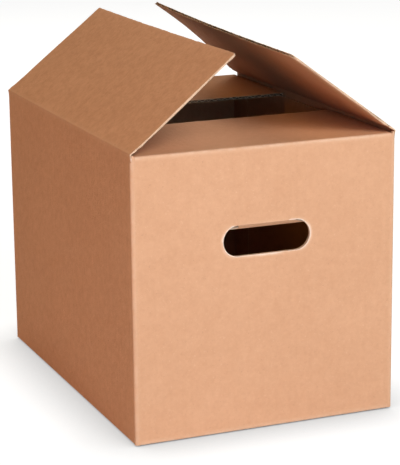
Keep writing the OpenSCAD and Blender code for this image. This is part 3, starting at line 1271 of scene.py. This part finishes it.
@dataclass(frozen=True)
class LinerFinish:
    """Kraft liner: mottled brown paper with fibres, flecks and a trace of the flutes behind it.

    The tone runs from pale to deep. It is a sum of mottle, grain, fibres, clouds and the wave of the
    flutes, each times its share. The left panel and its flap show the first three stronger, as painted
    shade of the paper's relief under grazing light.

    Attributes:
        name: Name of the material.
        pale: Lightest colour of the paper.
        deep: Darkest colour of the paper.
        pale_and_highlight_tint: Colour of pale flecks, and of the pale tint at folds and rims that is
            partly wear and partly painted highlight.
        fibre_and_highlight_tint: Colour where that tint is strongest, round the hand holes' rims: bared
            fibres with a painted highlight fringe.
        left_middle: Place of the left panel's middle along the sheet, in mm.
        flute_show: Share of the flutes' wave in the tone.
        mottle_share: Share of the mottle, in spots of 9 mm.
        grain_share: Share of the grain, in spots of 3 mm.
        fibre_share: Share of the fibres, which lie across the flutes.
        cloud_share: Share of the clouds, in spots of 85 mm.
        busy_middle: Middle of mottle, grain and fibres together, which stays as it is.
        left_relief_shade: How much stronger they are on the left panel, painted shade of the paper's relief
            under grazing light.
        flap_relief_shade: How much more they are on its flap, the same painted shade.
        most_wear_and_highlight: Largest share of the pale tint of wear and painted highlight.
        bump: Depth of the bumps in metres.
    """

    name: str
    pale: tuple[float, float, float]
    deep: tuple[float, float, float]
    pale_and_highlight_tint: tuple[float, float, float]
    fibre_and_highlight_tint: tuple[float, float, float] = (0.86, 0.68, 0.57)
    left_middle: float = 524.5
    flute_show: float = 0.018
    mottle_share: float = 0.32
    grain_share: float = 0.26
    fibre_share: float = 0.08
    cloud_share: float = 0.26
    busy_middle: float = 0.33
    left_relief_shade: float = 0.8
    flap_relief_shade: float = 0.7
    most_wear_and_highlight: float = 0.92
    bump: float = 0.0006

    def material(self) -> bpy.types.Material:
        """Builds the node material."""
        g = Graph(bpy.data.materials.new(self.name))
        place = g.node("ShaderNodeTexCoord").outputs["Object"]
        sheet = g.node("ShaderNodeUVMap", uv_map="sheet").outputs["UV"]
        clouds = g.noise(place, (0.085, 0.085, 0.085), 3.0)
        mottle = g.noise(place, (0.009, 0.009, 0.009), 4.0)
        grain = g.noise(place, (0.0032, 0.0032, 0.0032), 3.0)
        fibres = g.noise(sheet, (0.0030, 0.0006, 1.0), 2.0)
        flecks = g.noise(place, (0.0018, 0.0018, 0.0018), 1.0)
        across = g.node("ShaderNodeSeparateXYZ")
        g.link(sheet, across.inputs[0])
        turns = g.sum("MULTIPLY", across.outputs["X"], 2 * math.pi / (BOARD.pitch * MM))
        wave = g.sum("COSINE", turns, 0.0)
        busy = g.sum("MULTIPLY", g.spread(mottle, 0.3, 0.7), self.mottle_share)
        busy = g.sum("ADD", busy, g.sum("MULTIPLY", g.spread(grain, 0.3, 0.7), self.grain_share))
        busy = g.sum("ADD", busy, g.sum("MULTIPLY", g.spread(fibres, 0.2, 0.8), self.fibre_share))
        # The left panel and its flap get stronger mottle, grain and fibres: painted shade of the paper's
        # relief under grazing light.
        from_left = g.sum("ABSOLUTE", g.sum("SUBTRACT", across.outputs["X"], self.left_middle * MM), 0.0)
        on_left = g.spread(from_left, 0.204, 0.200)
        on_flap = g.sum("MULTIPLY", on_left, g.spread(across.outputs["Y"], 0.299, 0.301))
        more = g.sum("MULTIPLY", on_left, self.left_relief_shade)
        more = g.sum("ADD", more, g.sum("MULTIPLY", on_flap, self.flap_relief_shade))
        off_middle = g.sum("SUBTRACT", busy, self.busy_middle)
        busy = g.sum("ADD", busy, g.sum("MULTIPLY", off_middle, more))
        tone = g.sum("ADD", busy, g.sum("MULTIPLY", g.spread(clouds, 0.3, 0.7), self.cloud_share))
        tone = g.sum("ADD", tone, g.sum("MULTIPLY", wave, self.flute_show))
        colour = g.mix(tone, self.pale, self.deep)
        dark = tuple(c * 0.72 for c in self.deep)
        colour = g.mix(g.sum("MULTIPLY", g.spread(flecks, 0.68, 0.80), 0.35), colour, dark)
        colour = g.mix(g.sum("MULTIPLY", g.spread(flecks, 0.31, 0.22), 0.22), colour, self.pale_and_highlight_tint)
        # Pale tint near folds and rims: partly wear, partly painted highlight on the creases and round the
        # hand holes' rims.
        fold = g.node("ShaderNodeAttribute", attribute_name="fold", attribute_type="GEOMETRY")
        wear_and_highlight = g.sum("MULTIPLY", fold.outputs["Fac"], g.spread(mottle, 0.2, 0.6))
        tint = g.mix(g.spread(wear_and_highlight, 1.4, 2.6), self.pale_and_highlight_tint, self.fibre_and_highlight_tint)
        colour = g.mix(g.sum("MINIMUM", g.sum("MULTIPLY", wear_and_highlight, 0.5), self.most_wear_and_highlight), colour, tint)
        height = g.sum("ADD", g.sum("MULTIPLY", grain, 0.5), g.sum("MULTIPLY", fibres, 0.35))
        height = g.sum("ADD", height, g.sum("MULTIPLY", mottle, 0.8))
        height = g.sum("ADD", height, g.sum("MULTIPLY", wave, 0.05))
        g.paper(colour, height, self.bump, specular=0.32, roughness=0.82)
        return g.holder


@dataclass(frozen=True)
class CutEdgeFinish:
    """Raw board with fuzzy torn fibres: its cut edges, and in a darker pair of colours the medium, partly
    its own colour and partly painted shade in the flute channels.

    Attributes:
        name: Name of the material.
        pale: Lightest colour of the fibres.
        deep: Darkest colour of the fibres.
    """

    name: str
    pale: tuple[float, float, float]
    deep: tuple[float, float, float]

    def material(self) -> bpy.types.Material:
        """Builds the node material."""
        g = Graph(bpy.data.materials.new(self.name))
        place = g.node("ShaderNodeTexCoord").outputs["Object"]
        fuzz = g.noise(place, (0.0012, 0.0012, 0.0012), 3.0)
        tufts = g.noise(place, (0.006, 0.006, 0.006), 2.0)
        tone = g.sum("ADD", g.sum("MULTIPLY", g.spread(fuzz, 0.25, 0.75), 0.6),
                     g.sum("MULTIPLY", g.spread(tufts, 0.3, 0.7), 0.4))
        colour = g.mix(tone, self.pale, self.deep)
        g.paper(colour, fuzz, 0.0003, specular=0.2, roughness=0.95)
        return g.holder


# Studio


@dataclass
class PhotoCamera:
    """The photograph's viewpoint, fitted to the box's corners, in degrees, mm and pixels."""

    azimuth: float = -22.32
    elevation: float = 14.22
    roll: float = -0.61
    distance: float = 2107.25
    aim_right: float = 9.54
    aim_up: float = 10.35
    focal_px: float = 1899.44
    long_side_px: float = 465.0
    sensor: float = 36.0

    def build(self) -> bpy.types.Object:
        """Makes the camera and gives it to the scene."""
        a, e, r = (math.radians(x) for x in (self.azimuth, self.elevation, self.roll))
        back = Vector((math.sin(a) * math.cos(e), -math.cos(a) * math.cos(e), math.sin(e)))
        right = Vector((math.cos(a), math.sin(a), 0))
        up = back.cross(right)
        target = Vector((0, 0, BOX.height / 2)) + right * self.aim_right + up * self.aim_up
        turned_right = right * math.cos(r) + up * math.sin(r)
        turned_up = up * math.cos(r) - right * math.sin(r)
        data = bpy.data.cameras.new("photo_camera")
        data.sensor_width = self.sensor
        data.lens = self.focal_px * self.sensor / self.long_side_px
        data.clip_start, data.clip_end = 0.05, 50.0
        camera = bpy.data.objects.new("photo_camera", data)
        bpy.context.scene.collection.objects.link(camera)
        place = Matrix((turned_right, turned_up, back)).transposed().to_4x4()
        place.translation = (target + back * self.distance) * MM
        camera.matrix_world = place
        bpy.context.scene.camera = camera
        return camera


@dataclass(frozen=True)
class SoftLight:
    """A soft area lamp that looks at a point.

    Attributes:
        name: Name of the lamp.
        place: Where it stands, in metres.
        size: Width in metres.
        power: Power in watts.
        colour: Colour of its light.
        height: Height in metres, or 0 for a square lamp.
        aim: The point that it looks at.
    """

    name: str
    place: tuple[float, float, float]
    size: float
    power: float
    colour: tuple[float, float, float]
    height: float = 0.0
    aim: tuple[float, float, float] = (0.0, 0.0, 0.15)

    def build(self) -> bpy.types.Object:
        """Makes the lamp."""
        data = bpy.data.lights.new(self.name, "AREA")
        data.shape, data.size, data.size_y = "RECTANGLE", self.size, self.height or self.size
        data.energy, data.color = self.power, self.colour
        lamp = bpy.data.objects.new(self.name, data)
        bpy.context.scene.collection.objects.link(lamp)
        lamp.location = self.place
        way = Vector(self.aim) - Vector(self.place)
        lamp.rotation_euler = way.to_track_quat("-Z", "Y").to_euler()
        lamp.visible_camera = False
        return lamp


@dataclass
class Studio:
    """White floor, white surroundings and soft lamps.

    Attributes:
        ambient: Even light of the surroundings.
        floor_bounce: Grey of the floor as the box sees it.
        floor_seen: Colour of the floor as the camera sees it, on top of its glow.
        floor_glow: Glow of the floor in the camera's view.
        contact: How much a fully closed place darkens the floor.
        contact_reach: Distance from the box, in metres, where that starts.
        closed_below: Openness of a place below which the floor's glow fades out.
        floor_half: Half width of the floor in metres.
        floor_level: Height of the floor, just below the box.
        lamps: The lamps.
    """

    ambient: tuple[float, float, float] = (0.03, 0.02, 0.012)
    floor_bounce: float = 0.88
    floor_seen: tuple[float, float, float] = (0.2, 0.22, 0.235)
    floor_glow: float = 0.93
    contact: float = 0.68
    contact_reach: float = 0.07
    closed_below: float = 0.09
    floor_half: float = 4.0
    floor_level: float = -0.0004
    lamps: tuple[SoftLight, ...] = (
        SoftLight("front_low", (-0.28, -2.6, 0.40), 1.3, 18.5, (0.52, 0.78, 0.98), 0.5),
        SoftLight("front_middle", (-0.28, -2.6, 0.75), 1.3, 14.0, (0.52, 0.78, 0.98)),
        SoftLight("front_high", (0.2, -2.2, 1.9), 1.3, 47.5, (1.0, 0.89, 0.78)),
        SoftLight("left_low", (-1.9, -1.3, 0.25), 0.8, 6.0, (1.0, 0.34, 0.22), 0.5),
        SoftLight("left_wash", (-0.60, -0.05, 0.05), 0.5, 0.11, (1.0, 0.6, 0.45), 0.08,
                  (-0.145, 0.0, 0.03)),
        SoftLight("left_top", (-1.3, 0.0, 1.9), 0.8, 6.4, (1.0, 0.60, 0.12)),
        SoftLight("back", (0.6, 2.4, 1.6), 1.2, 28.0, (1.0, 0.86, 0.66)),
        SoftLight("right_fill", (2.2, 0.3, 0.7), 1.0, 7.0, (1.0, 0.96, 0.92)),
    )

    def floor(self) -> bpy.types.Object:
        """A wide floor that looks white to the camera and keeps the box's soft shadow."""
        half, level = self.floor_half, self.floor_level
        mesh = bpy.data.meshes.new("studio_floor")
        corners = [(-half, -half, level), (half, -half, level), (half, half, level), (-half, half, level)]
        mesh.from_pydata(corners, [], [(0, 1, 2, 3)])
        plane = bpy.data.objects.new("studio_floor", mesh)
        bpy.context.scene.collection.objects.link(plane)
        g = Graph(bpy.data.materials.new("floor_white"))
        path = g.node("ShaderNodeLightPath")
        seen = g.sum("MAXIMUM", path.outputs["Is Camera Ray"], path.outputs["Is Glossy Ray"])
        seen = g.sum("MAXIMUM", seen, path.outputs["Is Transmission Ray"])
        near = g.node("ShaderNodeAmbientOcclusion", samples=12, Distance=self.contact_reach)
        closed = g.sum("SUBTRACT", 1.0, near.outputs["AO"])
        clear = g.sum("SUBTRACT", 1.0, g.sum("MULTIPLY", closed, self.contact))
        clear = g.sum("MULTIPLY", clear, g.spread(near.outputs["AO"], 0.0, self.closed_below))
        tint = g.mix(seen, (self.floor_bounce,) * 3, g.mix(clear, (0.0, 0.0, 0.0), self.floor_seen))
        diffuse = g.node("ShaderNodeBsdfDiffuse")
        g.link(tint, diffuse.inputs["Color"])
        glow = g.node("ShaderNodeEmission", Color=(1, 1, 1, 1))
        g.link(g.sum("MULTIPLY", g.sum("MULTIPLY", seen, clear), self.floor_glow), glow.inputs["Strength"])
        both = g.node("ShaderNodeAddShader")
        g.link(diffuse.outputs[0], both.inputs[0])
        g.link(glow.outputs[0], both.inputs[1])
        g.link(both.outputs[0], g.node("ShaderNodeOutputMaterial").inputs["Surface"])
        mesh.materials.append(g.holder)
        return plane

    def world(self) -> None:
        """Surroundings that light the box evenly and look white to the camera."""
        g = Graph(bpy.data.worlds.new("studio_world"))
        bpy.context.scene.world = g.holder
        path = g.node("ShaderNodeLightPath")
        seen = g.sum("MAXIMUM", path.outputs["Is Camera Ray"], path.outputs["Is Transmission Ray"])
        glow = g.node("ShaderNodeBackground")
        g.link(g.mix(seen, self.ambient, (1.0, 1.0, 1.0)), glow.inputs["Color"])
        g.link(glow.outputs[0], g.node("ShaderNodeOutputWorld").inputs["Surface"])

    def build(self) -> None:
        """Makes floor, surroundings and lamps."""
        self.floor()
        self.world()
        for lamp in self.lamps:
            lamp.build()
        bpy.context.scene.view_settings.view_transform = "Standard"


def main() -> None:
    """Builds the box around the frame, then the studio."""
    logging.basicConfig(level=logging.INFO, format="%(name)s: %(message)s")
    PhotoCamera().build()
    papers = (
        LinerFinish("kraft_outer", pale=(0.715, 0.395, 0.235), deep=(0.615, 0.322, 0.180),
                    pale_and_highlight_tint=(0.86, 0.60, 0.43)),
        # The inner liner is darker than the outer: partly its own colour, partly painted shade for the
        # box's inside.
        LinerFinish("kraft_inner_shaded", pale=(0.58, 0.302, 0.166), deep=(0.48, 0.236, 0.12),
                    pale_and_highlight_tint=(0.78, 0.54, 0.38)),
        CutEdgeFinish("kraft_cut", pale=(0.86, 0.62, 0.44), deep=(0.54, 0.33, 0.20)),
        # The medium's finish: partly the medium's own darker colour, partly painted shade in the flute
        # channels.
        CutEdgeFinish("kraft_medium_shaded", pale=(0.30, 0.17, 0.10), deep=(0.19, 0.105, 0.06)),
    )
    finishes = [paper.material() for paper in papers]
    shell = BoxShell()
    shell.build(finishes)
    left = LongFlap(Side.LEFT, 38.0, near_deg=39.4, far_deg=38.1, bow=1.8, seed=41, side_press=0.68)
    left.build(shell, finishes)
    right = LongFlap(Side.RIGHT, 38.5, near_deg=36.6, far_deg=40.6, bow=1.8, seed=51, near_round=6.0,
                     far_round=8.0, far_skew=6.0, far_bulge=4.5, tear=1.3, side_press=0.72,
                     open_press=0.45, wear=1.2)
    right.build(shell, finishes)
    Studio().build()


if __name__ == "__main__":
    main()
